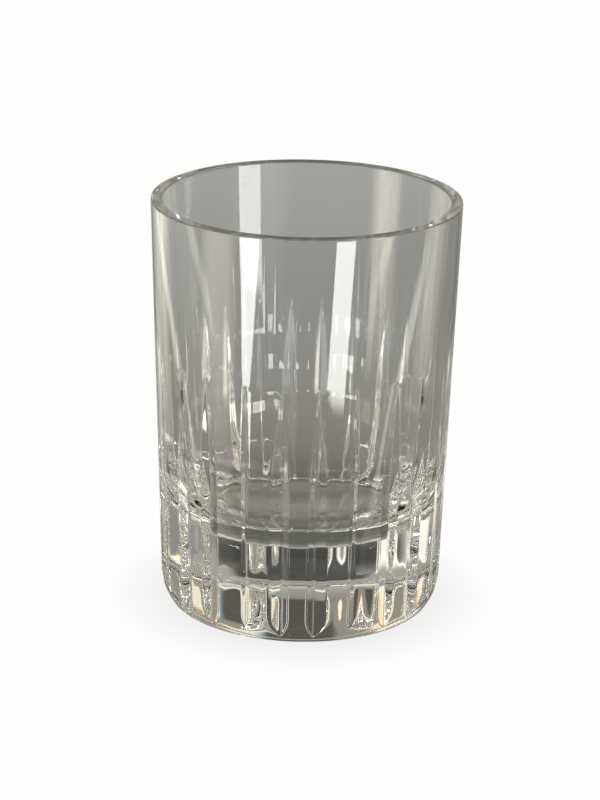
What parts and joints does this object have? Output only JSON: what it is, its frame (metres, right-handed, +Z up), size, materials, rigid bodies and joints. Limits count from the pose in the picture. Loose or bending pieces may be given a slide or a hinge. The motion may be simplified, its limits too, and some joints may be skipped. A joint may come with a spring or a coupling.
{
  "type": "whiskey tumbler",
  "caption": "Straight-sided cut-crystal tumbler with a heavy solid base, vertical V cuts round its lower half and a plain upper wall.",
  "frame": {"origin": "centre of the flat base face, on the table plane", "axes": "+Z up along the glass's axis, towards the rim; -Y points at the middle of a plain pane between two wide cuts"},
  "size_m": [0.0758, 0.0758, 0.103],
  "materials": {
    "crystal": "polished clear lead crystal, bright wheel-cut facets"
  },
  "bodies": {
    "root": {"tumbler": "crystal"}
  },
  "joints": []
}
